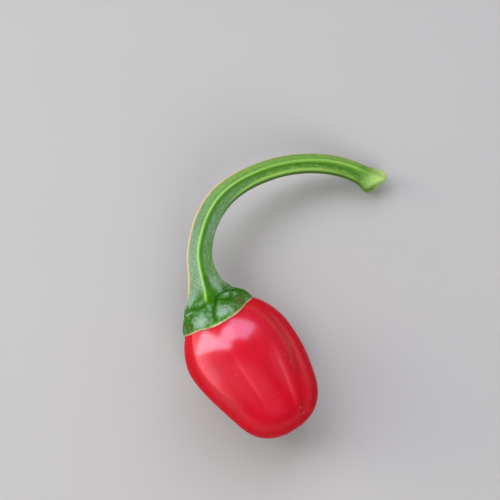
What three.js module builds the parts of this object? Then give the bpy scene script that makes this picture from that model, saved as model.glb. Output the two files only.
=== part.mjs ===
// A chilli pepper as picked: a blocky red pod lying on its side, with its green calyx and its long
// curved stem, whose flared end comes down to the surface that the pod rests on.
//
// Millimetres, +Z up. The origin is the middle of the small flat spot under the pod.
// Both bodies are first made upright round their own axis, in the pod's frame: x to the side,
// y out of the pod towards the stem, measured from the calyx rim, and z to the upper side.
// Angles round the axis are degrees from that upper side, positive towards +x.

import * as THREE from 'three';
import { mergeVertices } from 'three/addons/utils/BufferGeometryUtils.js';

const { degToRad, radToDeg, smoothstep, lerp, clamp } = THREE.MathUtils;

// ---- Where the pod lies ----

const RIM_CENTRE = new THREE.Vector3(-9.5, 13.4, 18); // middle of the calyx rim
const TIP_HEADING = -58; // degrees from +X, the way the blossom end points
const TIP_DIP = 8; // degrees, the blossom end hangs lower than the calyx

// ---- Pod ----

// Its outline as three curves that run into each other, each of four points (radius, y).
const POD_RADIUS = 16.6;
const TIP_CAP = [[0, -40], [8.5, -40], [12.2, -35.5], [13.7, -29.5]];
const SIDE = [[13.7, -29.5], [15.2, -23.5], [POD_RADIUS, -18], [POD_RADIUS, -12]];
const SHOULDER = [[POD_RADIUS, -12], [POD_RADIUS, -5.5], [11.5, 4.6], [0, 4.6]];
const LEAN = { by: 1.7, from: 4, to: 32 }; // the pod bends this far sideways below the rim

// Furrows between the seed chambers: the angle, and the depth as a share of the radius.
const FURROWS = [
  { angle: 51, depth: 0.07 },
  { angle: 150, depth: 0.045 },
  { angle: -96, depth: 0.045 },
];
const FURROW_HALF_WIDTH = 11; // degrees
const FURROWS_FADE_IN = { from: -1, to: 12 }; // below the rim

// ---- Calyx and stem ----

const CLEARANCE = 0.3; // between the calyx and the pod's shoulder
const RIM_AT = 0.52; // of the shoulder's curve, from the widest ring to the crown
const RIM_THICKNESS = 0.6;
// The rim reaches down the shoulder and draws back: how far, how many times round, and where it
// reaches furthest.
const RIM_WAVES = [
  { swing: 1.1, times: 2, angle: 8 },
  { swing: 0.25, times: 7, angle: 22 },
];
const RIM_MOVES = { radius: [7, 12], y: [2, 5] }; // the waves fade out inside and above these

// Radius over distance from the rim, along the stem's own centreline, from just above the rim.
const CALYX_AND_STEM = [
  [11.6, 1.8],
  [10.1, 3.6],
  [8.0, 5.8],
  [6.1, 8.5],
  [4.9, 11.4],
  [4.1, 14.6],
  [3.7, 18.5],
  [3.55, 25],
  [3.5, 36],
  [3.15, 50],
  [3.0, 62],
  [2.95, 79],
  [3.2, 86],
  [3.65, 90.5],
  [3.75, 93.2],
  [3.2, 94.9],
];
const STEM_FACE = { at: 94.7, slant: -0.32, slantFrom: 84 }; // the end it was picked at

// Raised ribs that run the whole stem, and the creases between the lobes of the calyx.
const RIB_ANGLES = [-80, -8, 57, 127, 200];
const RIB_HALF_WIDTH = 17; // degrees
const RIB_HEIGHT = 0.13; // share of the stem's radius
const CREASE_ANGLES = [-55, -2, 45, 95, 148, 203, 255];
const CREASE_HALF_WIDTH = 11; // degrees
const CREASE_DEPTH = 0.11; // share of the calyx's radius
const CREASES_START = { from: 1, to: 4 }; // over the rim
const NECK = { from: 6, to: 13 }; // where the calyx narrows into the stem

// Centreline: straight out of the pod for a little way, then two curves of four points each.
const STRAIGHT_START = 5;
const STEM_CURVES = [
  [[-16.8, 25.1, 19.9], [-16.3, 41.5, 22.7], [-7.8, 50.9, 18.8]],
  [[1.5, 61.1, 14.7], [25.3, 69.2, 8.4], [39.8, 58.1, 3.5]],
];

// ---- Fineness of the facets ----

const POD_SIDES = 44;
const POD_RINGS = { tip: 9, side: 9, shoulder: 10 };
const STEM_SIDES = 40;
const STEM_RINGS = 66;
const UNDERSIDE_RINGS = 7;

// ---- Helpers ----

const UP = new THREE.Vector3(0, 0, 1);

/** The pod's frame in the part's frame: x sideways, y towards the stem, z to the upper side. */
function podFrame() {
  const heading = degToRad(TIP_HEADING);
  const dip = degToRad(TIP_DIP);
  const outwards = new THREE.Vector3(
    -Math.cos(heading) * Math.cos(dip),
    -Math.sin(heading) * Math.cos(dip),
    Math.sin(dip),
  );
  const sideways = new THREE.Vector3().crossVectors(outwards, UP).normalize();
  const upper = new THREE.Vector3().crossVectors(sideways, outwards);
  return new THREE.Matrix4().makeBasis(sideways, outwards, upper).setPosition(RIM_CENTRE);
}

/** A point of a round body's section. */
const at = (radius, y) => new THREE.Vector2(radius, y);

/** A rounded ridge at an angle: 1 on its line, 0 well away from it. */
function ridge(angle, line, halfWidth) {
  const apart = ((angle - line + 540) % 360) - 180;
  return Math.exp(-((apart / halfWidth) ** 2));
}

/** All the ridges that have these lines, at one angle. */
function ridges(angle, lines, halfWidth) {
  return lines.reduce((sum, line) => sum + ridge(angle, line, halfWidth), 0);
}

/** A closed round body from a profile of (radius, y), then moved point by point. */
function turnedBody(profile, sides, movePoint) {
  const body = new THREE.LatheGeometry(profile, sides);
  body.deleteAttribute('normal');
  body.deleteAttribute('uv');
  const geometry = mergeVertices(body, 1e-4);
  const position = geometry.getAttribute('position');
  const point = new THREE.Vector3();
  for (let i = 0; i < position.count; i++) {
    point.fromBufferAttribute(position, i);
    movePoint(point, radToDeg(Math.atan2(point.x, point.z)));
    position.setXYZ(i, point.x, point.y, point.z);
  }
  geometry.computeVertexNormals();
  return geometry;
}

// ---- Pod ----

const outline = (points) => new THREE.CubicBezierCurve(...points.map(([radius, y]) => at(radius, y)));
const shoulder = outline(SHOULDER);

/** Draws a point in towards the axis where a furrow runs. */
function furrow(point, angle) {
  const shown = smoothstep(-point.y, FURROWS_FADE_IN.from, FURROWS_FADE_IN.to);
  let kept = 1;
  for (const { angle: line, depth } of FURROWS) {
    kept -= shown * depth * ridge(angle, line, FURROW_HALF_WIDTH);
  }
  point.x *= kept;
  point.z *= kept;
}

function makePod() {
  const profile = [
    ...outline(TIP_CAP).getPoints(POD_RINGS.tip).slice(0, -1),
    ...outline(SIDE).getPoints(POD_RINGS.side).slice(0, -1),
    ...shoulder.getPoints(POD_RINGS.shoulder),
  ];
  const place = podFrame();
  const geometry = turnedBody(profile, POD_SIDES, (point, angle) => {
    furrow(point, angle);
    point.x += LEAN.by * smoothstep(-point.y, LEAN.from, LEAN.to);
    point.applyMatrix4(place);
    point.z = Math.max(point.z, 0); // the flat spot it rests on
  });
  const skin = new THREE.MeshStandardMaterial({ color: 0xb5121f, roughness: 0.25, metalness: 0 });
  return new THREE.Mesh(geometry, skin);
}

// ---- Calyx and stem ----

/** The whole centreline in the part's frame, from the middle of the calyx rim to the stem's end. */
function makeCentreline(place) {
  const top = new THREE.Vector3(0, STRAIGHT_START, 0).applyMatrix4(place);
  const centreline = new THREE.CurvePath();
  centreline.add(new THREE.LineCurve3(RIM_CENTRE, top));
  let from = top;
  for (const points of STEM_CURVES) {
    const [leave, arrive, to] = points.map((p) => new THREE.Vector3(...p));
    centreline.add(new THREE.CubicBezierCurve3(from, leave, arrive, to));
    from = to;
  }
  return centreline;
}

/** Frames along the centreline that start as the pod's frame and never twist round it. */
function untwistedFrames(centreline, start, steps) {
  const turn = new THREE.Quaternion().setFromRotationMatrix(start);
  let tangent = centreline.getTangent(0);
  const turns = [];
  for (let i = 0; i <= steps; i++) {
    const next = centreline.getTangent(i / steps);
    turn.premultiply(new THREE.Quaternion().setFromUnitVectors(tangent, next));
    turns.push(turn.clone());
    tangent = next;
  }
  return turns;
}

/** A point of the calyx's section at a height over the shoulder, at a share of its curve. */
function overShoulder(share, height) {
  const along = shoulder.getTangent(share);
  return shoulder.getPoint(share).addScaledVector(at(along.y, -along.x), height);
}

/** The underside, which follows the pod's shoulder from over the crown down to the rim. */
function undersideProfile() {
  const points = [at(0, SHOULDER[3][1] + CLEARANCE)];
  for (let i = 1; i < UNDERSIDE_RINGS; i++) {
    points.push(overShoulder(lerp(1, RIM_AT, i / (UNDERSIDE_RINGS - 1)), CLEARANCE));
  }
  return points;
}

/** Raises the ribs on the stem, and presses in the creases of the calyx. */
function relief(point, angle) {
  const onStem = smoothstep(point.y, NECK.from, NECK.to);
  const onCalyx = smoothstep(point.y, CREASES_START.from, CREASES_START.to) * (1 - onStem);
  const risen = RIB_HEIGHT * onStem * (ridges(angle, RIB_ANGLES, RIB_HALF_WIDTH) - 0.5);
  const pressed = CREASE_DEPTH * onCalyx * ridges(angle, CREASE_ANGLES, CREASE_HALF_WIDTH);
  point.x *= 1 + risen - pressed;
  point.z *= 1 + risen - pressed;
}

/** Lets the rim slide down and up the pod's shoulder. */
function waveRim(point, angle) {
  const radius = Math.hypot(point.x, point.z);
  const nearRim = smoothstep(radius, ...RIM_MOVES.radius) * (1 - smoothstep(point.y, ...RIM_MOVES.y));
  let slide = 0;
  for (const wave of RIM_WAVES) {
    slide += nearRim * wave.swing * Math.cos(degToRad((angle - wave.angle) * wave.times));
  }
  if (slide === 0) return;
  const slope = shoulder.getTangent(RIM_AT);
  const wider = (radius - slope.x * slide) / radius;
  point.x *= wider;
  point.z *= wider;
  point.y -= slope.y * slide;
}

function makeStemAndCalyx() {
  const rimEdge = overShoulder(RIM_AT, CLEARANCE + RIM_THICKNESS);
  const outside = new THREE.SplineCurve([rimEdge, ...CALYX_AND_STEM.map(([radius, y]) => at(radius, y))]);
  const profile = [...undersideProfile(), ...outside.getSpacedPoints(STEM_RINGS), at(0, STEM_FACE.at)];
  const place = podFrame();
  const centreline = makeCentreline(place);
  const turns = untwistedFrames(centreline, place, STEM_RINGS);
  const turn = new THREE.Quaternion();

  const geometry = turnedBody(profile, STEM_SIDES, (point, angle) => {
    relief(point, angle);
    waveRim(point, angle);
    const nearFace = smoothstep(point.y, STEM_FACE.slantFrom, STEM_FACE.at);
    point.y += STEM_FACE.slant * point.x * nearFace;
    if (point.y <= STRAIGHT_START) {
      point.applyMatrix4(place);
      return;
    }
    const share = clamp(point.y / STEM_FACE.at, 0, 1);
    const step = Math.min(Math.floor(share * STEM_RINGS), STEM_RINGS - 1);
    turn.slerpQuaternions(turns[step], turns[step + 1], share * STEM_RINGS - step);
    point.y -= share * STEM_FACE.at;
    point.applyQuaternion(turn).add(centreline.getPoint(share));
    point.z = Math.max(point.z, 0); // the stem's end touches the surface
  });
  const green = new THREE.MeshStandardMaterial({ color: 0x6f9a4b, roughness: 0.5, metalness: 0 });
  return new THREE.Mesh(geometry, green);
}

// ---- The pepper ----

const pepper = new THREE.Group();

const pod = makePod();
pod.name = 'pod';
pepper.add(pod);

const stemAndCalyx = makeStemAndCalyx();
stemAndCalyx.name = 'stem_and_calyx';
pepper.add(stemAndCalyx);

export default pepper;
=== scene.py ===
"""A chilli pepper as picked: a glossy red pod lying on its side, with its wrinkled green calyx and
its long curved, ribbed stem.

Both pieces are grown upright round their own axis first, in millimetres, in the pod's frame: x to
the side, y out of the pod towards the stem, measured from the calyx rim, and z to the upper side.
Angles round the axis are degrees from the upper side, positive towards +x. Then each point is laid
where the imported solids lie, and the finished piece is scaled to metres.

In the tables, "in" and "out" are the stretches over which something comes in and goes again: of y on
the calyx and stem, of the distance below the rim on the pod. "loss" is the share that goes, which is
all of it where none is given. At its half width from its line, a form has sunk to about a third.
"""

import math

import bmesh
import bpy
from mathutils import Matrix, Vector, noise
from mathutils.geometry import interpolate_bezier


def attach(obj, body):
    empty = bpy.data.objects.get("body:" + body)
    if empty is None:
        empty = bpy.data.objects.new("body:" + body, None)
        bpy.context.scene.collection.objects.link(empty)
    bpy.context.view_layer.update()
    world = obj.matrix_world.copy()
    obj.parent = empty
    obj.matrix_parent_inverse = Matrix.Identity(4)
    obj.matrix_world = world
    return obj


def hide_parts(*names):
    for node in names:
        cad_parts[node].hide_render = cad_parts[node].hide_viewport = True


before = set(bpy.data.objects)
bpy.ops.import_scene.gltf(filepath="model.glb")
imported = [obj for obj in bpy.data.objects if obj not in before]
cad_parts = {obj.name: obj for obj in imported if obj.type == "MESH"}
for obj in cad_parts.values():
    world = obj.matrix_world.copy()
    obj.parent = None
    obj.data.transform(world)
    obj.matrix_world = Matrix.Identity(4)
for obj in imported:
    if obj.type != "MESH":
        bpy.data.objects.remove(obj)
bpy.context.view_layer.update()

MM = 0.001

# ---- Where the pod lies ----

RIM_CENTRE = Vector((-9.5, 13.4, 18.0))
TIP_HEADING = -58.0  # degrees from +X, the way the blossom end points
TIP_DIP = 8.0  # degrees that the blossom end points down

# ---- Pod: its outline as three curves of four points (radius, y) ----

POD_RADIUS = 16.6
TIP_CAP = ((0, -40), (8.5, -40), (12.2, -35.5), (13.7, -29.5))
SIDE = ((13.7, -29.5), (15.2, -23.5), (POD_RADIUS, -18), (POD_RADIUS, -12))
SHOULDER = ((POD_RADIUS, -12), (POD_RADIUS, -5.5), (11.5, 4.6), (0, 4.6))
LEAN = {"by": 1.7, "in": (4, 32)}  # the pod leans to the side towards its tip

# Furrows and ridges run along the pod and show over a stretch below the rim. Each turns by its drift,
# in degrees, on the way. Depths and heights are shares of the radius. A lower power makes a sharper
# crest, and pale is how much of the ridge's orange line shows: partly paler ridge skin and partly a
# painted highlight along the ridge's lit side.
# The first furrow's line is also painted a deeper red: painted shade in the crease.
FURROWS = (
    {"angle": 51, "drift": -30, "depth": 0.006, "half_width": 4, "shows": (2, 60)},
    {"angle": 53, "drift": -30, "depth": 0.011, "half_width": 14, "shows": (-1, 60)},
    {"angle": 150, "drift": 8, "depth": 0.040, "half_width": 9, "shows": (-1, 60)},
    {"angle": -96, "drift": -6, "depth": 0.030, "half_width": 9, "shows": (-1, 60)},
)
RIDGES = (
    {"angle": -50, "drift": 14, "height": 0.024, "half_width": 9, "shows": (-6, 27),
     "power": 1.2, "pale": 1.0},
    {"angle": -13, "drift": -7, "height": 0.003, "half_width": 2.5, "shows": (9, 33),
     "power": 1.4, "pale": 0.5},
    {"angle": 27, "drift": -13, "height": 0.0035, "half_width": 3.5, "shows": (12, 37),
     "power": 1.4, "pale": 0.6},
    {"angle": 57, "drift": -20, "height": 0.0018, "half_width": 3.5, "shows": (3, 36),
     "power": 1.4, "pale": 0.2},
    {"angle": 108, "drift": 0, "height": 0.012, "half_width": 9, "shows": (0, 34),
     "power": 2, "pale": 0.2},
    {"angle": -140, "drift": 0, "height": 0.014, "half_width": 9, "shows": (0, 34),
     "power": 2, "pale": 0.2},
    {"angle": 188, "drift": 0, "height": 0.010, "half_width": 9, "shows": (0, 34),
     "power": 2, "pale": 0.2},
)
COMES_IN_OVER = 8  # millimetres from nothing to a whole furrow or ridge
GOES_OUT_OVER = 12
DRIFTS_OVER = (11, 40)  # how far below the rim the drift begins and ends
HIGHLIGHT_LINE_BEHIND = 2  # degrees that a ridge's orange line, partly a painted highlight, reaches past its line onto its shaded side
# By the calyx, the left side is painted a deeper red, a painted shade, and has less gloss. Both are gone
# further down.
SHADED_LEFT_SIDE = {"angle": -90, "half_width": 27, "red": 0.7, "red_out": (6, 19), "gloss_back": (10, 26)}
DULL_TIP = {"share": 0.6, "in": (18, 34)}
LUMPS = {"wavelength": 15.0, "height": 0.22, "in": (0, 8)}
TIP_SCAR = {"radius": 1.5, "depth": 0.5}

POD_SIDES = 300
POD_RINGS = {"tip": 54, "side": 48, "shoulder": 56}

# ---- Calyx: its rim ----

CLEARANCE = 0.02  # between the calyx and the pod's shoulder
RIM_AT = 0.52  # the rim's place, as a share of the shoulder's curve
RIM_THICKNESS = 0.24
RIM_WAVES = ({"swing": 1.1, "times": 2, "angle": 8}, {"swing": 0.12, "times": 9, "angle": 22})
RIM_TEETH = ({"angle": 0, "reach": 1.0}, {"angle": 141, "reach": 0.5}, {"angle": 213, "reach": 0.5})
RIM_TOOTH_HALF_WIDTH = 26
RIM_MOVES = {"radius": (7, 12), "y": (2, 5)}  # waves and teeth come in with one, go out with the other

# ---- Stem: its outline as points (radius, y), from the rim to the cut end ----

CALYX_AND_STEM = (
    (11.6, 1.8), (10.1, 3.6), (8.0, 5.8), (6.1, 8.5), (4.9, 11.4), (4.1, 14.6), (3.7, 18.5), (3.55, 25),
    (3.5, 36), (3.15, 50), (3.0, 62), (2.95, 79), (2.95, 85), (3.05, 88), (3.4, 90),
    (3.95, 91.6), (4.35, 92.9), (4.4, 93.5), (4.1, 94.0), (3.0, 94.2), (1.5, 94.2),
)
END_BULGE = 0.05  # how far the middle of the end stands out
STEM_LENGTH = 94.7  # along the stem's line
# The end is cut from two sides into a blunt wedge. Its edge stands off the axis, on the outer side.
STEM_CUT = {"in": (84, 94), "edge_at": -1.2, "rise": 2.3, "slope": 0.66, "rounding": 0.9}
HEAD_SHIFT = {"by": -0.5, "in": (87, 93)}  # the stem's swollen end leans to its outer side
NECK_SHIFT = {"by": 1.0, "in": (4.5, 9), "out": (11, 20)}  # the stem's foot stands off the middle
# The inside of the bend is a little swollen.
INNER_SWELL = {"height": 0.42, "angle": 86, "half_width": 34, "in": (24, 38), "out": (54, 72)}

# The stem's line is straight up to here, then follows curves: two handles and an end each.
STRAIGHT_START = 5
STEM_CURVES = (
    ((-16.8, 25.1, 19.9), (-16.3, 41.5, 22.7), (-7.8, 50.9, 18.8)),
    ((1.5, 61.1, 14.7), (25.3, 69.2, 8.4), (39.8, 58.1, 3.5)),
)

# Ribs and grooves run along the stem and turn slowly round it: paths of (y, angle).
LEFT_RIB = ((5, -78), (32, -78), (50, -70), (80, -52), (92, -50))
MIDDLE_RIB = ((4, -7), (6, -10), (11, -12), (22, -10), (32, -6), (41, 0), (52, 3), (92, 7))
RIGHT_RIB = ((5, 57), (40, 57), (50, 54), (65, 58), (80, 67), (92, 80))
REAR_RIBS = (((5, 127), (92, 155)), ((5, 200), (92, 228)))
RIBS = (LEFT_RIB, MIDDLE_RIB, RIGHT_RIB, *REAR_RIBS)
GROOVES = (
    ((6, 1), (12, 1), (20, 6), (30, 12), (50, 17), (62, 21), (82, 36), (92, 50)),
    ((5, 80), (92, 110)), ((5, 150), (92, 182)), ((5, 224), (92, 255)),
)
# Each rib is a narrow crest on a wide foot. Heights and depths are shares of the radius. The outline
# has the feet's mean in it.
RIB_FOOT = {"height": 0.12, "half_width": 17, "mean": 0.5, "in": (6, 13)}
RIB_CREST = {"height": 0.05, "half_width": 5.5}
CREST_WIDER = {"by": 4.5, "in": (35, 75)}
CREST_NARROWER = {"by": 2.2, "out": (8, 18)}
GROOVE = {"depth": 0.035, "half_width": 8}
RIBS_SHOW = {"in": (4.2, 6.8), "out": (85, 91)}

# ---- Calyx: its surface ----

# Folds, each a line through (angle, y): pressed in, or standing up where depth is below zero.
FOLDS = (
    {"line": ((6, 12), (8, 9), (10, 6.5), (14, 4.8)), "depth": 0.28, "half_width": 1.0},
    {"line": ((15, 4.7), (5, 4.0), (-5, 3.0), (-9, 1.8), (-8, 0.5)), "depth": 0.55, "half_width": 0.4},
    {"line": ((-13, 4.5), (-25, 4.7), (-42, 5.2), (-67, 5.9)), "depth": 0.4, "half_width": 0.5},
    {"line": ((15, 5), (28, 5.4), (45, 5.1), (58, 4.2)), "depth": 0.5, "half_width": 0.5},
    {"line": ((15, 4.4), (21, 3.5), (29, 3), (40, 2.5)), "depth": 0.5, "half_width": 0.45},
    {"line": ((20, 4.4), (30, 4.3), (46, 3.9)), "depth": -0.35, "half_width": 0.45},
    {"line": ((-24, 4.0), (-43, 4.2), (-52, 5.0), (-68, 5.6)), "depth": -0.25, "half_width": 0.35},
    {"line": ((-10, 2.2), (-24, 1.2), (-30, 0.6)), "depth": -0.15, "half_width": 0.35},
    {"line": ((-48, 4), (-52, 2.2), (-50, 0.8)), "depth": 0.35, "half_width": 0.5},
    {"line": ((60, 3.4), (72, 2.0), (80, 0.6)), "depth": 0.4, "half_width": 0.6},
    {"line": ((112, 7), (110, 3), (106, 0.4)), "depth": 0.5, "half_width": 0.8},
    {"line": ((152, 7), (150, 3), (152, 0.6)), "depth": 0.5, "half_width": 0.8},
    {"line": ((203, 7), (206, 3), (204, 0.4)), "depth": 0.5, "half_width": 0.8},
    {"line": ((252, 7), (250, 3), (246, 0.4)), "depth": 0.5, "half_width": 0.8},
)
DEEPEST_FOLD = 0.7  # where folds meet
FULLY_SHADED_FOLD = 0.5  # a fold this deep is wholly darkened with painted shade
SPOTS = (
    {"angle": 14, "y": 4.8, "depth": 0.55, "half_width": 0.9},  # the pit by the middle rib's foot
    {"angle": -10, "y": 3.9, "depth": -0.4, "half_width": 0.75},  # the knob on the rib's end
    {"angle": 70, "y": 7.5, "depth": -0.6, "half_width": 2.6},  # the right rib's spreading foot
    {"angle": -78, "y": 5.6, "depth": -0.5, "half_width": 2.0},  # the left rib's spreading foot
)
# Patches with a wax coat whose pale bluish colour is also a painted sheen, the sky's reflection, each a spot
# with its half widths round and along.
WAX_SHEEN_PATCHES = (
    {"angle": -60, "y": 8.1, "half_widths": (2.3, 1.8)}, {"angle": -31, "y": 1.9, "half_widths": (2.6, 1.6)},
    {"angle": 7, "y": 1.8, "half_widths": (2.0, 1.5)}, {"angle": 32, "y": 4.6, "half_widths": (1.0, 0.5)},
    {"angle": 37, "y": 2.4, "half_widths": (0.8, 0.6)}, {"angle": -20, "y": 2.0, "half_widths": (0.7, 0.6)},
    {"angle": 30, "y": 8.5, "half_widths": (0.9, 3.2)}, {"angle": 46, "y": 0.3, "half_widths": (0.9, 0.4)},
    {"angle": -60, "y": 5.0, "half_widths": (2.0, 0.35)}, {"angle": -9, "y": 4.1, "half_widths": (0.5, 0.4)},
)
WAX_SHEEN_ENDS = 16  # no patch reaches this y
# How the patches' outlines wander. Unseeded, the wander would follow the clock.
RAGGED = {"wavelength": 1.5, "by": 0.75, "seed": 1795552202}
# Leathery plates with creases between them, which are flatter under the bloom. Their creases are darkened
# with painted shade.
PLATES = {"wavelength": 2.1, "height": 0.34, "crease": 0.30, "dark": 0.55, "flatter": 0.7}
WRINKLES = {"wavelength": 1.1, "height": 0.07, "octaves": 3}
BUMPY = {"in": (0.4, 2), "out": (6, 11)}
RELIEF_WITHIN = (-2, 13)
RELIEF_IN = (-0.4, 1.2)  # the rim and the underside stay smooth

# ---- Where the colours of the calyx and stem lie ----

CUT_COLOUR = {"in": (87.5, 93.5)}
CUT_SHADED_SIDE = {"share": 0.9, "angle": 98, "half_width": 52}  # painted shade: the cut end's pale colour is kept off its inner side
FAR_COLOUR = {"in": (16, 62)}  # fresher skin with less of the pale painted sheen, away from the pod
CALYX_COLOUR = {"out": (6, 11)}
LESS_SHEEN_NECK = {"share": 0.75, "angle": 48, "half_width": 30, "in": (10, 16), "out": (21, 28)}  # less of the pale painted sheen
# The crests are pale. The right one's colour begins half way along, and the rear ones' is faint.
PALE_MIDDLE_CREST = {"in": (3, 7), "out": (40, 60), "loss": 0.30}
PALE_RIGHT_CREST = {"in": (34, 50), "out": (70, 84), "loss": 0.60}
PALE_REAR_CRESTS = 0.5
LIT_FLANK_PAINT = {"share": 0.30, "half_width": 20, "in": (26, 42)}  # painted light on the lit flank between the left and the middle rib
# These lie beside a rib, so many degrees from its line.
# A cream line beside the left rib, along the stem's outline.
CREAM_EDGE_LINE = {"beside": -1, "half_width": 8, "in": (5, 13), "out": (40, 62), "loss": 0.7}
EDGE_WIDER = {"by": 2, "in": (15, 30)}
VIVID_FLANK = {"beside": 12, "half_width": 9, "in": (4.5, 7), "out": (20, 45), "loss": 0.4}
# Olive on the stem's underside, beside the right rib, is painted shade.
SHADED_UNDERSIDE = {"beside": 34, "half_width": 24, "share": 0.8, "in": (12, 38)}
AGED_CORNERS = ({"angle": -60, "half_width": 13}, {"angle": 38, "half_width": 18})
AGED_CORNERS_OUT = (2, 3.5)
RIM_COLOUR_OUT = (0.15, 0.44)  # millimetres from the rim's edge

STEM_SIDES = 160
RINGS_PER_MM = 3.4
UNDERSIDE_RINGS = 14
ON_AXIS = 1e-3  # a point this near to the axis has no angle


# ---- Shapes ----

def smoothstep(value, start, end):
    share = min(max((value - start) / (end - start), 0.0), 1.0)
    return share * share * (3 - 2 * share)


def shown(value, span):
    """How much of something shows that comes in over one stretch and goes out over another."""
    return smoothstep(value, *span["in"]) * (1 - span.get("loss", 1) * smoothstep(value, *span["out"]))


def degrees_apart(angle, line):
    return (angle - line + 540) % 360 - 180


def ridge(angle, line, half_width, power=2):
    """A ridge at an angle: 1 on its line, 0 well away from it. A lower power makes it sharper."""
    return math.exp(-abs(degrees_apart(angle, line) / half_width) ** power)


def ridges(angle, lines, half_width):
    return sum(ridge(angle, line, half_width) for line in lines)


def side(angle, form):
    """How much of a form that has an angle and a half width of its own lies at an angle."""
    return ridge(angle, form["angle"], form["half_width"])


def path_angle(path, y):
    for (y_a, angle_a), (y_b, angle_b) in zip(path, path[1:]):
        if y < y_b:
            return angle_a + (angle_b - angle_a) * max((y - y_a) / (y_b - y_a), 0)
    return path[-1][1]


def curve_points(points, steps):
    """Points (radius, y) along a curve given by four of them."""
    corners = [Vector((radius, y, 0)) for radius, y in points]
    return [Vector((p.x, p.y)) for p in interpolate_bezier(*corners, steps + 1)]


def smooth_line(points, spacing):
    """Evenly spaced points on a smooth line that passes through the given ones."""
    steps_between = 24
    knots = [points[0] * 2 - points[1], *points, points[-1] * 2 - points[-2]]
    dense = []
    for before, start, end, after in zip(knots, knots[1:], knots[2:], knots[3:]):
        leave = start + (end - before) / 6
        arrive = end - (after - start) / 6
        corners = [v.to_3d() for v in (start, leave, arrive, end)]
        dense += [p.to_2d() for p in interpolate_bezier(*corners, steps_between)][:-1]
    dense.append(points[-1])
    line = [dense[0]]
    left = spacing
    for start, end in zip(dense, dense[1:]):
        step = (end - start).length
        while step >= left:
            start = start.lerp(end, left / step)
            line.append(start)
            step -= left
            left = spacing
        left -= step
    return [*line, points[-1]]


def turned_body(profile, sides):
    """A bmesh turned from a profile of (radius, y) that starts and ends on the axis."""
    bm = bmesh.new()
    verts = [bm.verts.new((0, y, radius)) for radius, y in profile]
    edges = [bm.edges.new(pair) for pair in zip(verts, verts[1:])]
    bmesh.ops.spin(bm, geom=verts + edges, cent=(0, 0, 0), axis=(0, 1, 0), dvec=(0, 0, 0),
                   angle=2 * math.pi, steps=sides, use_merge=True, use_normal_flip=False,
                   use_duplicate=False)
    bmesh.ops.remove_doubles(bm, verts=bm.verts, dist=1e-4)
    bmesh.ops.recalc_face_normals(bm, faces=bm.faces)
    return bm


def pod_frame():
    """Takes a point from the pod's frame to its place, in millimetres."""
    heading, dip = math.radians(TIP_HEADING), math.radians(TIP_DIP)
    outwards = Vector((-math.cos(heading) * math.cos(dip), -math.sin(heading) * math.cos(dip),
                       math.sin(dip)))
    sideways = outwards.cross(Vector((0, 0, 1))).normalized()
    upper = sideways.cross(outwards)
    turn = Matrix((sideways, outwards, upper)).transposed()
    return Matrix.Translation(RIM_CENTRE) @ turn.to_4x4()


POD_PLACE = pod_frame()


class Place:
    """A point of an upright body: its place along the axis, its distance from it and its angle."""

    def __init__(self, point):
        self.point = point.copy()
        self.y = point.y
        self.radius = math.hypot(point.x, point.z)
        self.angle = math.degrees(math.atan2(point.x, point.z))


def set_down(vert, placed):
    """Moves a vertex to its final place, never below the floor."""
    placed.z = max(placed.z, 0)
    vert.co = placed


def finished_piece(name, bm, material):
    """The bmesh, in millimetres, as a smooth piece in metres with its material."""
    bmesh.ops.scale(bm, vec=(MM, MM, MM), verts=bm.verts)
    mesh = bpy.data.meshes.new(name)
    bm.to_mesh(mesh)
    bm.free()
    mesh.shade_smooth()
    mesh.materials.append(material)
    piece = bpy.data.objects.new(name, mesh)
    bpy.context.scene.collection.objects.link(piece)
    return piece


# ---- Materials ----

class Socket:
    """A shader value: expressions on it add Math nodes."""

    def __init__(self, shader, socket):
        self.shader, self.socket = shader, socket

    def math(self, operation, other, clamp=False):
        node = self.shader.node("ShaderNodeMath", {"operation": operation, "use_clamp": clamp},
                                {0: self, 1: other})
        return node["Value"]

    def __add__(self, other):
        return self.math("ADD", other)

    def __mul__(self, other):
        return self.math("MULTIPLY", other)

    def __rsub__(self, other):
        return (self * -1) + other

    __radd__ = __add__

    def clamped(self):
        return self.math("ADD", 0.0, clamp=True)

    def ramp(self, start, end):
        """0 at start, 1 at end, smooth between and flat beyond."""
        node = self.shader.node("ShaderNodeMapRange", {"interpolation_type": "SMOOTHSTEP"},
                                {"Value": self, "From Min": start, "From Max": end})
        return node["Result"]


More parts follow.
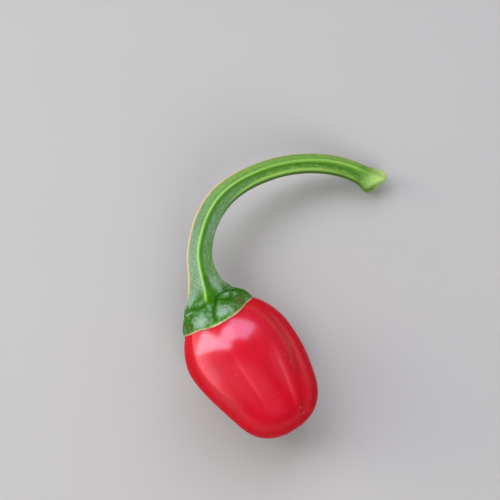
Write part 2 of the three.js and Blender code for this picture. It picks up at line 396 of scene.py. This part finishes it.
class Shader:
    """Builds one material's nodes."""

    def __init__(self, name):
        self.material = bpy.data.materials.new(name)
        self.material.use_nodes = True
        self.tree = self.material.node_tree
        self.surface = self.tree.nodes["Principled BSDF"]

    def node(self, kind, settings=None, inputs=None):
        """Adds a node and returns its outputs by name."""
        node = self.tree.nodes.new(kind)
        for key, value in (settings or {}).items():
            setattr(node, key, value)
        for key, value in (inputs or {}).items():
            self.put(node.inputs[key], value)
        return {out.name: Socket(self, out) for out in node.outputs if out.enabled}

    def put(self, target, value):
        """Links a shader value to an input, or sets the input to a constant."""
        if isinstance(value, Socket):
            self.tree.links.new(value.socket, target)
        elif value is not None:
            target.default_value = value

    def set(self, **inputs):
        """Sets or links inputs of the surface, named with _ for each space."""
        for key, value in inputs.items():
            self.put(self.surface.inputs[key.replace("_", " ")], value)

    def attribute(self, name, output="Fac"):
        return self.node("ShaderNodeAttribute", {"attribute_name": name})[output]

    def turned_away(self):
        """0 where the surface faces the eye, 1 at its outline: it takes the gloss off there."""
        return self.node("ShaderNodeLayerWeight", {}, {"Blend": 0.5})["Facing"]

    def place(self):
        return self.node("ShaderNodeTexCoord")["Object"]

    def stretched(self, vector, scale):
        return self.node("ShaderNodeMapping", {}, {"Vector": vector, "Scale": scale})["Vector"]

    def noise(self, vector, scale, detail, roughness=0.5):
        return self.node("ShaderNodeTexNoise", {}, {
            "Vector": vector, "Scale": scale, "Detail": detail, "Roughness": roughness})["Fac"]

    def cells(self, vector, scale):
        """The distance to the nearest of the points scattered through space."""
        return self.node("ShaderNodeTexVoronoi", {}, {"Vector": vector, "Scale": scale})["Distance"]

    def mix(self, share, first, second):
        """Blends two colours."""
        node = self.tree.nodes.new("ShaderNodeMix")
        node.data_type = "RGBA"
        share_input, first_colour, second_colour, colour_output = 0, 6, 7, 2
        self.put(node.inputs[share_input], share)
        self.put(node.inputs[first_colour], first)
        self.put(node.inputs[second_colour], second)
        return Socket(self, node.outputs[colour_output])

    def bump(self, height, distance, strength, under=None):
        """A normal that height has raised by up to a distance in metres, on top of another one."""
        return self.node("ShaderNodeBump", {}, {
            "Height": height, "Distance": distance, "Strength": strength, "Normal": under})["Normal"]


def pod_skin():
    """Glossy red skin. Its noises are in Object coordinates, with scales per metre."""
    skin = Shader("pod_skin")
    place = skin.place()
    ripe = (0.445, 0.0014, 0.0080, 1)
    deep = (0.310, 0.0008, 0.0040, 1)
    orange_and_highlight = (0.600, 0.0500, 0.0400, 1)
    rosy = (0.470, 0.0150, 0.0280, 1)
    pale = (0.500, 0.2500, 0.2000, 1)

    # Cloudy red, with painted shade in the furrow and on the left side by the calyx, and an orange line
    # along the ridges that is partly paler skin and partly a painted highlight.
    cloud = skin.noise(place, 95, detail=3)
    colour = skin.mix(cloud.ramp(0.40, 0.72) * 0.30, ripe, deep)
    blush = skin.noise(place, 150, detail=4, roughness=0.6)
    colour = skin.mix(blush.ramp(0.50, 0.72) * 0.35, colour, rosy)
    colour = skin.mix(skin.attribute("furrow") * 0.60, colour, deep)
    # An orange line on the ridges' lit side: partly paler ridge skin, partly a painted highlight.
    colour = skin.mix(skin.attribute("ridge_tint_and_highlight") * 0.90, colour, orange_and_highlight)

    # A few tiny pale specks.
    specks = 1 - skin.cells(place, 420).ramp(0.05, 0.12)
    sparse = skin.noise(place, 230, detail=0).ramp(0.56, 0.62)
    colour = skin.mix(specks * sparse * 0.5, colour, pale)

    fine = skin.noise(place, 1100, detail=3, roughness=0.6)
    dents = skin.noise(place, 260, detail=3, roughness=0.6)
    normal = skin.bump(dents, 0.00036, 0.6)
    normal = skin.bump(fine, 0.00004, 0.6, under=normal)
    gloss = skin.turned_away().ramp(0.62, 0.28) * (1 - skin.attribute("dull"))
    skin.set(Base_Color=colour, Normal=normal, Roughness=0.38 + fine * 0.08,
             Coat_Weight=gloss, Coat_Roughness=0.21, Coat_IOR=1.62,
             IOR=1.45, Specular_IOR_Level=0.02, Subsurface_Weight=0.25, Subsurface_Scale=0.004,
             Subsurface_Radius=(1.0, 0.08, 0.05))
    return skin.material


def stem_colour(skin, streaks, patches, speckle, sheen_and_wax):
    """The stem's and calyx's colours, laid over each other from the plain skin up."""
    far, calyx, fold = skin.attribute("far"), skin.attribute("calyx"), skin.attribute("fold")
    leaf = (0.034, 0.115, 0.006, 1)
    fresh = (0.070, 0.180, 0.008, 1)
    pale_wax_and_sheen = (0.200, 0.330, 0.168, 1)
    lime = (0.245, 0.485, 0.066, 1)
    dark = (0.012, 0.070, 0.002, 1)
    vivid = (0.042, 0.190, 0.002, 1)
    olive = (0.052, 0.078, 0.004, 1)
    cream = (0.610, 0.420, 0.180, 1)
    cut = (0.440, 0.640, 0.150, 1)

    # Plain skin, fresher along the stem, with dark and pale streaks.
    colour = skin.mix(far, leaf, fresh)
    colour = skin.mix(streaks.ramp(0.50, 0.68) * (1 - calyx) * 0.60, colour, dark)
    colour = skin.mix((1 - streaks).ramp(0.52, 0.68) * 0.60, colour, lime)
    colour = skin.mix(calyx * 0.85, colour, vivid)
    colour = skin.mix(calyx * speckle.ramp(0.62, 0.40) * 0.60, colour, dark)

    # The pale bluish colour, partly a wax coat and partly a painted sheen of the sky's reflection, is broken
    # up into specks, and is more even on the calyx.
    wax_sheen_share = (sheen_and_wax + calyx * (1 - fold) * patches.ramp(0.42, 0.62) * 0.5).clamped()
    even = 0.20 + calyx * 0.30
    colour = skin.mix(wax_sheen_share * (even + speckle.ramp(0.39, 0.61) * (1 - even)), colour, pale_wax_and_sheen)

    # Painted shade in the grooves and folds, and the vivid flank; olive where the calyx has grown old, and
    # as painted shade on the stem's underside; pale crests, with painted light on the flank between the left
    # and the middle rib.
    colour = skin.mix(skin.attribute("groove") * 0.4, colour, dark)
    colour = skin.mix(skin.attribute("flank") * 0.95, colour, vivid)
    colour = skin.mix(fold * 0.9, colour, dark)
    colour = skin.mix(skin.attribute("aged_and_shaded") * patches.ramp(0.30, 0.60) * 0.8, colour, olive)
    colour = skin.mix(skin.attribute("crest") * 0.95, colour, lime)
    colour = skin.mix(skin.attribute("tip") * 0.66, colour, cut)
    colour = skin.mix((skin.attribute("edge") * (0.75 + streaks * 0.5)).clamped(), colour, cream)
    return skin.mix(skin.attribute("rim") * (0.50 + patches.ramp(0.40, 0.60) * 0.50), colour, cream)


def stem_skin():
    """Green skin with a wax coat, whose pale bluish colour is partly a painted sheen. Its noises follow the
    upright stem, with scales per millimetre.
    """
    skin = Shader("stem_skin")
    grown = skin.attribute("grown", "Vector")
    far, calyx, fold = skin.attribute("far"), skin.attribute("calyx"), skin.attribute("fold")

    lengthwise = skin.stretched(grown, (1, 0.12, 1))
    streaks = skin.noise(lengthwise, 4.2, detail=4, roughness=0.65)
    patches = skin.noise(grown, 0.5, detail=4, roughness=0.6)
    speckle = skin.noise(grown, 2.6, detail=5, roughness=0.75)
    # Where the pale wax colour and its painted sheen lie: thinner away from the pod.
    sheen_and_wax = (skin.attribute("sheen_and_wax") + (1 - far * 0.85) * (1 - calyx) * (0.45 + patches * 0.5)).clamped()

    wrinkled = skin.noise(grown, 1.9, detail=4, roughness=0.6)
    pores = skin.noise(grown, 9, detail=2)
    normal = skin.bump(wrinkled * (1 - far), 0.00035, 0.6)
    normal = skin.bump(streaks, 0.00022, 0.7, under=normal)
    normal = skin.bump(pores, 0.00005, 0.6, under=normal)

    # The bloom has a soft gloss, which folds, grooves and the vivid flank lack.
    hollow = fold + skin.attribute("groove") * 0.7
    open_skin = (1 - hollow).clamped() * skin.turned_away().ramp(0.95, 0.45)
    gloss = open_skin * (0.05 + sheen_and_wax * 0.42) * (1 - skin.attribute("flank") * 0.8)
    skin.set(Base_Color=stem_colour(skin, streaks, patches, speckle, sheen_and_wax), Normal=normal,
             Roughness=0.45 + pores * 0.14, Coat_Weight=gloss, Coat_Roughness=0.27,
             IOR=1.45, Specular_IOR_Level=0.02, Subsurface_Weight=0.08, Subsurface_Scale=0.0012,
             Subsurface_Radius=(0.5, 1.0, 0.25))
    return skin.material


def floor_paint():
    paint = Shader("floor_paint")
    pale = (0.316, 0.330, 0.227, 1)
    shade = (0.296, 0.309, 0.213, 1)
    grain = paint.noise(paint.place(), 40, detail=2)
    paint.set(Base_Color=paint.mix(grain * 0.3, pale, shade), Roughness=0.85)
    return paint.material


# ---- Pod ----

POD_MASKS = ("ridge_tint_and_highlight", "furrow", "dull")


def along_pod(line, place):
    """How much of a line along the pod shows at a place, and how much of its pale line, partly a painted
    highlight, which fades soon past the line on its shaded side.
    """
    below = -place.y
    start, end = line["shows"]
    stretch = {"in": (start, start + COMES_IN_OVER), "out": (end - GOES_OUT_OVER, end)}
    turned = line["angle"] + line["drift"] * smoothstep(below, *DRIFTS_OVER)
    share = shown(below, stretch) * ridge(place.angle, turned, line["half_width"], line.get("power", 2))
    behind = max(-degrees_apart(place.angle, turned), 0) / HIGHLIGHT_LINE_BEHIND
    return share, share * math.exp(-behind * behind)


def pod_masks(place, furrows, raised):
    """How much of each colour and finish lies at a place of the pod."""
    below = -place.y
    deeper = side(place.angle, SHADED_LEFT_SIDE)
    painted_side_shade = SHADED_LEFT_SIDE["red"] * deeper * (1 - smoothstep(below, *SHADED_LEFT_SIDE["red_out"]))
    deeper_dull = deeper * (1 - smoothstep(below, *SHADED_LEFT_SIDE["gloss_back"]))
    # The furrow's darker red and the left side's deeper red are painted shade.
    dark_furrow, _ = furrows[0]
    return {
        "ridge_tint_and_highlight": max(pale * line["pale"] for (_, pale), line in zip(raised, RIDGES)),
        "furrow": max(dark_furrow, painted_side_shade),
        "dull": max(DULL_TIP["share"] * smoothstep(below, *DULL_TIP["in"]), deeper_dull),
    }


def pod_point(place, furrows, raised):
    """The place's point, moved by the furrows, ridges, lumps, tip scar and lean."""
    below = -place.y
    lump = noise.noise(place.point / LUMPS["wavelength"]) * LUMPS["height"] * smoothstep(below, *LUMPS["in"])
    kept = 1 + lump / POD_RADIUS
    kept -= sum(share * line["depth"] for (share, _), line in zip(furrows, FURROWS))
    kept += sum(share * line["height"] for (share, _), line in zip(raised, RIDGES))
    scar = TIP_SCAR["depth"] * math.exp(-(place.radius / TIP_SCAR["radius"]) ** 2) if below > 0 else 0
    lean = LEAN["by"] * smoothstep(below, *LEAN["in"])
    return Vector((place.point.x * kept + lean, place.y + scar, place.point.z * kept))


def shape_pod(bm):
    layers = {name: bm.verts.layers.float.new(name) for name in POD_MASKS}
    for vert in bm.verts:
        place = Place(vert.co)
        furrows = [along_pod(line, place) for line in FURROWS]
        raised = [along_pod(line, place) for line in RIDGES]
        for name, value in pod_masks(place, furrows, raised).items():
            vert[layers[name]] = value
        set_down(vert, POD_PLACE @ pod_point(place, furrows, raised))


def make_pod():
    profile = (curve_points(TIP_CAP, POD_RINGS["tip"])[:-1] + curve_points(SIDE, POD_RINGS["side"])[:-1]
               + curve_points(SHOULDER, POD_RINGS["shoulder"]))
    bm = turned_body(profile, POD_SIDES)
    shape_pod(bm)
    piece = finished_piece("red_pod", bm, pod_skin())
    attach(piece, "root")
    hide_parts("pod")


# ---- Calyx and stem ----

STEM_MASKS = ("crest", "edge", "groove", "flank", "fold", "rim", "tip", "far", "aged_and_shaded", "calyx", "sheen_and_wax")


def shoulder_at(share):
    """The shoulder's point and its direction towards the crown, at a share of its curve."""
    a, b, c, d = (Vector(p) for p in SHOULDER)
    rest = 1 - share
    point = a * rest ** 3 + b * (3 * rest * rest * share) + c * (3 * rest * share * share) + d * share ** 3
    along = (b - a) * rest * rest + (c - b) * (2 * rest * share) + (d - c) * share * share
    return point, along.normalized()


def over_shoulder(share, height):
    """The point (radius, y) at a height over the shoulder."""
    point, along = shoulder_at(share)
    return point + Vector((along.y, -along.x)) * height


RIM_EDGE = over_shoulder(RIM_AT, CLEARANCE + RIM_THICKNESS)
RIM_SLOPE = shoulder_at(RIM_AT)[1]


class StemLine:
    """The stem's centreline with a frame at each step that never twists round it."""

    STEPS = 400

    def __init__(self):
        dense = [RIM_CENTRE, POD_PLACE @ Vector((0, STRAIGHT_START, 0))]
        for curve in STEM_CURVES:
            dense += interpolate_bezier(dense[-1], *(Vector(p) for p in curve), self.STEPS)[1:]
        self.points = self.evenly(dense)
        self.turns = self.frames()

    def evenly(self, dense):
        """Points at even steps along a line of many points."""
        lengths = [0.0]
        for start, end in zip(dense, dense[1:]):
            lengths.append(lengths[-1] + (end - start).length)
        points = []
        index = 0
        for step in range(self.STEPS + 1):
            wanted = lengths[-1] * step / self.STEPS
            while index < len(dense) - 2 and lengths[index + 1] < wanted:
                index += 1
            share = (wanted - lengths[index]) / (lengths[index + 1] - lengths[index])
            points.append(dense[index].lerp(dense[index + 1], share))
        return points

    def frames(self):
        """The turn at each step, carried on from the pod's own."""
        turn = POD_PLACE.to_quaternion()
        tangent = turn @ Vector((0, 1, 0))
        turns = []
        for before, after in zip([self.points[0], *self.points], [*self.points[1:], self.points[-1]]):
            ahead = (after - before).normalized()
            turn = tangent.rotation_difference(ahead) @ turn
            turns.append(turn.copy())
            tangent = ahead
        return turns

    def bend(self, point):
        """Lays a point of the upright stem along the line."""
        share = min(max(point.y / STEM_LENGTH, 0), 1)
        place = share * self.STEPS
        step = min(int(place), self.STEPS - 1)
        turn = self.turns[step].slerp(self.turns[step + 1], place - step)
        centre = self.points[step].lerp(self.points[step + 1], place - step)
        return centre + turn @ Vector((point.x, point.y - share * STEM_LENGTH, point.z))


class Ribs:
    """The stem's ribs and grooves, and how much of each crest and of the grooves lies at a place."""

    def __init__(self, place):
        self.angles = [path_angle(path, place.y) for path in RIBS]
        width = (RIB_CREST["half_width"] + CREST_WIDER["by"] * smoothstep(place.y, *CREST_WIDER["in"])
                 - CREST_NARROWER["by"] * (1 - smoothstep(place.y, *CREST_NARROWER["out"])))
        self.crests = [ridge(place.angle, angle, width) for angle in self.angles]
        grooves = [path_angle(path, place.y) for path in GROOVES]
        self.groove = ridges(place.angle, grooves, GROOVE["half_width"])
        self.shown = shown(place.y, RIBS_SHOW)

    def height(self, place):
        """How far the ribs and grooves and the swell inside the bend raise the surface."""
        feet = ridges(place.angle, self.angles, RIB_FOOT["half_width"]) - RIB_FOOT["mean"]
        crests = RIB_CREST["height"] * sum(self.crests) - GROOVE["depth"] * self.groove
        relief = RIB_FOOT["height"] * feet * smoothstep(place.y, *RIB_FOOT["in"]) + crests * self.shown
        swell = INNER_SWELL["height"] * side(place.angle, INNER_SWELL) * shown(place.y, INNER_SWELL)
        return place.radius * relief + swell


def line_distance(place, line):
    """Distance over the surface, in millimetres, to a line through (angle, y) points."""
    nearest = math.inf
    arc = math.radians(place.radius)
    here = Vector((0, 0))
    for (angle_a, y_a), (angle_b, y_b) in zip(line, line[1:]):
        start = Vector((degrees_apart(angle_a, place.angle) * arc, y_a - place.y))
        end = start + Vector((degrees_apart(angle_b, angle_a) * arc, y_b - y_a))
        along = end - start
        share = min(max((here - start).dot(along) / along.length_squared, 0), 1)
        nearest = min(nearest, (start + along * share).length)
    return nearest


def round_from(place, angle):
    """Distance round the body, in millimetres, from an angle."""
    return math.radians(degrees_apart(place.angle, angle)) * place.radius


def dent(place, spot):
    """How far a round spot presses the surface in."""
    apart = Vector((round_from(place, spot["angle"]), place.y - spot["y"]))
    return spot["depth"] * math.exp(-(apart.length / spot["half_width"]) ** 2)


def wax_sheen_at(place, point):
    """How much of the pale wax colour, partly a painted sheen, lies at a place of the calyx: flat patches,
    ragged by the point.
    """
    flatness = 5
    ragged = noise.noise_vector(point / RAGGED["wavelength"]) * RAGGED["by"]
    most = 0.0
    for patch in WAX_SHEEN_PATCHES:
        half_round, half_along = patch["half_widths"]
        round_it = round_from(place, patch["angle"]) / half_round
        along_it = (place.y - patch["y"]) / half_along
        away = Vector((round_it + ragged.x, along_it + ragged.y)).length
        most = max(most, math.exp(-away ** flatness))
    return most


def plates(point):
    """Rounded plates with creases between them: 1 on a plate, 0 in a crease."""
    nearest, second = noise.voronoi(point / PLATES["wavelength"])[0][:2]
    return smoothstep(second - nearest, 0, PLATES["crease"])


def wrinkles(point):
    """Fine wrinkles of a few octaves, each half as wide and half as high as the one before."""
    return WRINKLES["height"] * noise.fractal(point / WRINKLES["wavelength"], 1.0, 2.0, WRINKLES["octaves"])


def calyx_relief(place):
    """How far the calyx's surface is pressed in, and how much painted shade darkens it in the folds and
    creases.
    """
    lowest, highest = RELIEF_WITHIN
    if not lowest < place.y < highest:
        return 0.0, 0.0
    pressed = fold_shade = 0.0
    for fold in FOLDS:
        share = math.exp(-(line_distance(place, fold["line"]) / fold["half_width"]) ** 2)
        pressed += fold["depth"] * share
        if fold["depth"] > 0:
            fold_shade = max(fold_shade, share * min(fold["depth"] / FULLY_SHADED_FOLD, 1))
    pressed = min(pressed, DEEPEST_FOLD) + sum(dent(place, spot) for spot in SPOTS)
    bumpy = shown(place.y, BUMPY)
    creased = (1 - plates(place.point)) * bumpy * (1 - PLATES["flatter"] * wax_sheen_at(place, place.point))
    pressed += PLATES["height"] * creased - wrinkles(place.point) * bumpy
    fold_shade = max(fold_shade, PLATES["dark"] * creased)
    inwards = smoothstep(place.y, *RELIEF_IN)
    return pressed * inwards, fold_shade * inwards


def rim_slide(place):
    """How far the rim reaches past its mean line, with its waves and its teeth."""
    near_rim = smoothstep(place.radius, *RIM_MOVES["radius"]) * (1 - smoothstep(place.y, *RIM_MOVES["y"]))
    waves = sum(w["swing"] * math.cos(math.radians((place.angle - w["angle"]) * w["times"]))
                for w in RIM_WAVES)
    teeth = sum(t["reach"] * ridge(place.angle, t["angle"], RIM_TOOTH_HALF_WIDTH) for t in RIM_TEETH)
    return near_rim * (waves + teeth)


def stem_point(place, radius):
    """The place's point at a new radius, with the rim's slide, the cut end and the shifts."""
    point = place.point.copy()
    slide = rim_slide(place)
    wider = (radius - RIM_SLOPE.x * slide) / place.radius
    point.x *= wider
    point.z *= wider
    point.y -= RIM_SLOPE.y * slide
    beside = math.hypot(point.x - STEM_CUT["edge_at"], STEM_CUT["rounding"])
    point.y += smoothstep(place.y, *STEM_CUT["in"]) * (STEM_CUT["rise"] - STEM_CUT["slope"] * beside)
    point.x += HEAD_SHIFT["by"] * smoothstep(place.y, *HEAD_SHIFT["in"])
    point.x += NECK_SHIFT["by"] * shown(place.y, NECK_SHIFT)
    return point


def masks_along(y):
    """How much of the colours that change along the stem lies at y."""
    return {
        "tip": smoothstep(y, *CUT_COLOUR["in"]),
        "far": smoothstep(y, *FAR_COLOUR["in"]),
        "calyx": 1 - smoothstep(y, *CALYX_COLOUR["out"]),
    }


def rib_masks(place, ribs):
    """How much of the colours on and beside the ribs lies at a place."""
    y, angle = place.y, place.angle
    left, middle, right = ribs.angles[:3]
    _, middle_crest, right_crest, *rear_crests = ribs.crests
    pale_middle = middle_crest * shown(y, PALE_MIDDLE_CREST)
    pale_right = right_crest * shown(y, PALE_RIGHT_CREST)
    pale_rear = max(rear_crests) * PALE_REAR_CRESTS
    between = (LIT_FLANK_PAINT["share"] * ridge(angle, (left + middle) / 2, LIT_FLANK_PAINT["half_width"])
               * smoothstep(y, *LIT_FLANK_PAINT["in"]))
    edge_width = CREAM_EDGE_LINE["half_width"] + EDGE_WIDER["by"] * smoothstep(y, *EDGE_WIDER["in"])
    edge = ridge(angle, left + CREAM_EDGE_LINE["beside"], edge_width) * shown(y, CREAM_EDGE_LINE)
    flank = ridge(angle, middle + VIVID_FLANK["beside"], VIVID_FLANK["half_width"])
    # Painted shade: olive along the stem's underside.
    underside = (SHADED_UNDERSIDE["share"] * smoothstep(y, *SHADED_UNDERSIDE["in"])
                 * ridge(angle, right + SHADED_UNDERSIDE["beside"], SHADED_UNDERSIDE["half_width"]))
    corners = max(side(angle, corner) for corner in AGED_CORNERS) * (1 - smoothstep(y, *AGED_CORNERS_OUT))
    return {
        # The pale crests, with painted light on the flank between the left and the middle rib.
        "crest": ribs.shown * max(pale_middle, pale_right, pale_rear, between),
        "edge": ribs.shown * edge,
        "groove": ribs.shown * ribs.groove,
        "flank": flank * shown(y, VIVID_FLANK),
        "aged_and_shaded": max(corners, underside),
    }


def shape_stem(bm):
    noise.seed_set(RAGGED["seed"])
    layers = {name: bm.verts.layers.float.new(name) for name in STEM_MASKS}
    grown = bm.verts.layers.float_vector.new("grown")
    line = StemLine()
    for vert in bm.verts:
        place = Place(vert.co)
        point = place.point
        vert[grown] = point
        masks = masks_along(place.y)
        if place.radius > ON_AXIS:
            ribs = Ribs(place)
            pressed, masks["fold"] = calyx_relief(place)
            point = stem_point(place, place.radius + ribs.height(place) - pressed)
            masks.update(rib_masks(place, ribs))
            # Painted shade: the cut's pale colour is kept off the end's inner side.
            masks["tip"] *= 1 - CUT_SHADED_SIDE["share"] * side(place.angle, CUT_SHADED_SIDE)
            less_sheen = LESS_SHEEN_NECK["share"] * side(place.angle, LESS_SHEEN_NECK) * shown(place.y, LESS_SHEEN_NECK)
            masks["far"] = max(masks["far"], less_sheen)
            from_rim = (Vector((place.radius, place.y)) - RIM_EDGE).length
            masks["rim"] = 1 - smoothstep(from_rim, *RIM_COLOUR_OUT)
            masks["sheen_and_wax"] = wax_sheen_at(place, point) if place.y < WAX_SHEEN_ENDS else 0.0
        for name, value in masks.items():
            vert[layers[name]] = value
        set_down(vert, line.bend(point) if point.y > STRAIGHT_START else POD_PLACE @ point)


def make_stem():
    underside = [over_shoulder(1 + (RIM_AT - 1) * i / UNDERSIDE_RINGS, CLEARANCE)
                 for i in range(1, UNDERSIDE_RINGS + 1)]
    outside = smooth_line([RIM_EDGE, *(Vector(p) for p in CALYX_AND_STEM)], 1 / RINGS_PER_MM)
    crown = Vector((0, SHOULDER[-1][1] + CLEARANCE))
    end = Vector((0, CALYX_AND_STEM[-1][1] + END_BULGE))
    bm = turned_body([crown, *underside, *outside, end], STEM_SIDES)
    shape_stem(bm)
    piece = finished_piece("green_stem_and_calyx", bm, stem_skin())
    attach(piece, "root")
    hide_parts("stem_and_calyx")


# ---- Floor, light and camera ----

FLOOR_REACH = 1500  # millimetres from its middle
SUBJECT = Vector((0.0, 0.02, 0.0))
SKY_COLOUR = (0.72, 0.69, 1.0)
HAZY_SKY_COLOUR = (0.75, 0.70, 0.86)
DEEP_SKY_COLOUR = (0.70, 0.60, 1.0)
SURROUND_STRENGTH = 0.22
# Soft boxes that stand round the subject. Azimuths are degrees from +Y towards +X, and heights and
# distances are in metres.
PANELS = (
    {"name": "back_left_panel", "azimuths": (-95, -66), "heights": (0.42, 1.45), "watts": 6.0},
    {"name": "back_middle_panel", "azimuths": (-66, -45), "heights": (0.48, 1.20), "watts": 2.65},
    {"name": "back_panel", "azimuths": (-45, -20), "heights": (0.44, 1.31), "watts": 4.2},
    {"name": "left_low_panel", "azimuths": (-95, -63), "heights": (0.05, 0.43), "watts": 2.8,
     "colour": HAZY_SKY_COLOUR},
    {"name": "back_right_panel", "azimuths": (-20, 31), "heights": (0.33, 1.35), "watts": 7.4,
     "colour": DEEP_SKY_COLOUR},
    {"name": "right_panel", "azimuths": (80, 108), "heights": (0.28, 0.62), "watts": 0.17,
     "distance": 0.6},
    {"name": "low_left_panel", "azimuths": (-142, -98), "heights": (0.06, 0.25), "watts": 0.38},
    {"name": "front_left_panel", "azimuths": (-165, -98), "heights": (0.25, 0.75), "watts": 0.4},
    {"name": "front_fill", "azimuths": (140, 190), "heights": (0.3, 1.2), "watts": 11.8,
     "distance": 0.6, "mirrored": False},
    {"name": "right_fill", "azimuths": (5, 70), "heights": (0.3, 1.1), "watts": 4.5,
     "distance": 0.6, "mirrored": False},
)
# Nearly straight down. The looked-at point and the distance are in millimetres, as is the lens.
CAMERA = {"elevation": 77, "looks_at": (-0.16, 37.95, 0), "distance": 373.3, "lens": 85, "sensor": 36}


def make_floor():
    bm = bmesh.new()
    bmesh.ops.create_grid(bm, x_segments=1, y_segments=1, size=FLOOR_REACH)
    finished_piece("floor", bm, floor_paint())


def soft_panel(name, azimuths, heights, watts, distance=0.5, colour=SKY_COLOUR, mirrored=True):
    """A standing soft box that faces the subject. One that isn't mirrored shows in no gloss."""
    middle = math.radians(sum(azimuths) / 2)
    half_turn = math.radians(azimuths[1] - azimuths[0]) / 2
    away = Vector((math.sin(middle), math.cos(middle), 0))
    lamp = bpy.data.lights.new(name, "AREA")
    lamp.shape = "RECTANGLE"
    lamp.size = 2 * distance * math.tan(half_turn)
    lamp.size_y = heights[1] - heights[0]
    lamp.energy = watts
    lamp.color = colour
    panel = bpy.data.objects.new(name, lamp)
    panel.location = SUBJECT + away * distance + Vector((0, 0, sum(heights) / 2))
    panel.rotation_euler = away.to_track_quat("Z", "Y").to_euler()
    panel.visible_glossy = mirrored
    bpy.context.scene.collection.objects.link(panel)


def make_surround():
    """A dim, even light from all sides."""
    world = bpy.data.worlds.new("soft_surround")
    world.use_nodes = True
    background = world.node_tree.nodes["Background"]
    background.inputs["Color"].default_value = (*SKY_COLOUR, 1)
    background.inputs["Strength"].default_value = SURROUND_STRENGTH
    bpy.context.scene.world = world
    bpy.context.scene.view_settings.view_transform = "Standard"


def make_camera():
    """The photograph's view."""
    elevation = math.radians(CAMERA["elevation"])
    away = Vector((0, -math.cos(elevation), math.sin(elevation)))
    lens = bpy.data.cameras.new("photo_view")
    lens.lens = CAMERA["lens"]
    lens.sensor_width = CAMERA["sensor"]
    camera = bpy.data.objects.new("photo_view", lens)
    camera.location = (Vector(CAMERA["looks_at"]) + away * CAMERA["distance"]) * MM
    camera.rotation_euler = (math.pi / 2 - elevation, 0, 0)
    bpy.context.scene.collection.objects.link(camera)
    bpy.context.scene.camera = camera


make_camera()
make_pod()
make_stem()
make_floor()
for panel in PANELS:
    soft_panel(**panel)
make_surround()
